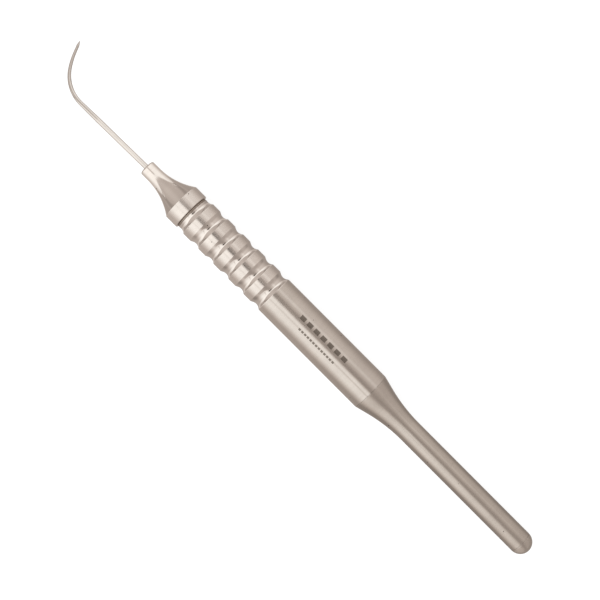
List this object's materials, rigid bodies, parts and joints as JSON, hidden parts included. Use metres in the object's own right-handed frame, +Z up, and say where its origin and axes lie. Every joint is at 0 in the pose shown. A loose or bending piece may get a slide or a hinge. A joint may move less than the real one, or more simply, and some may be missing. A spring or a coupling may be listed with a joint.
{
  "type": "dental explorer",
  "caption": "Single-ended dental explorer: a sharp, hooked wire probe fixed in a round hollow steel handle with turned finger grooves, for feeling tooth surfaces.",
  "frame": {"origin": "under the middle of the whole object, on the surface it lies on", "axes": "+X along the handle from the probe's point to the tail; +Z up; the hook points to +Y and down, and its point touches the surface"},
  "size_m": [0.1596, 0.0136, 0.01],
  "materials": {
    "handle_steel": "fine turned and polished stainless steel, slightly warm",
    "tail_steel": "satin stainless steel, duller than the grip",
    "probe_steel": "bright ground wire",
    "solder": "dull dark silver solder"
  },
  "bodies": {
    "root": {"working_end": "probe_steel", "tang_solder": "solder", "nose_cone": "handle_steel", "front_joint_solder": "solder", "grip_tube": "handle_steel", "rear_joint_solder": "solder", "tail_stem": "tail_steel", "end_plug": "tail_steel"}
  },
  "joints": []
}
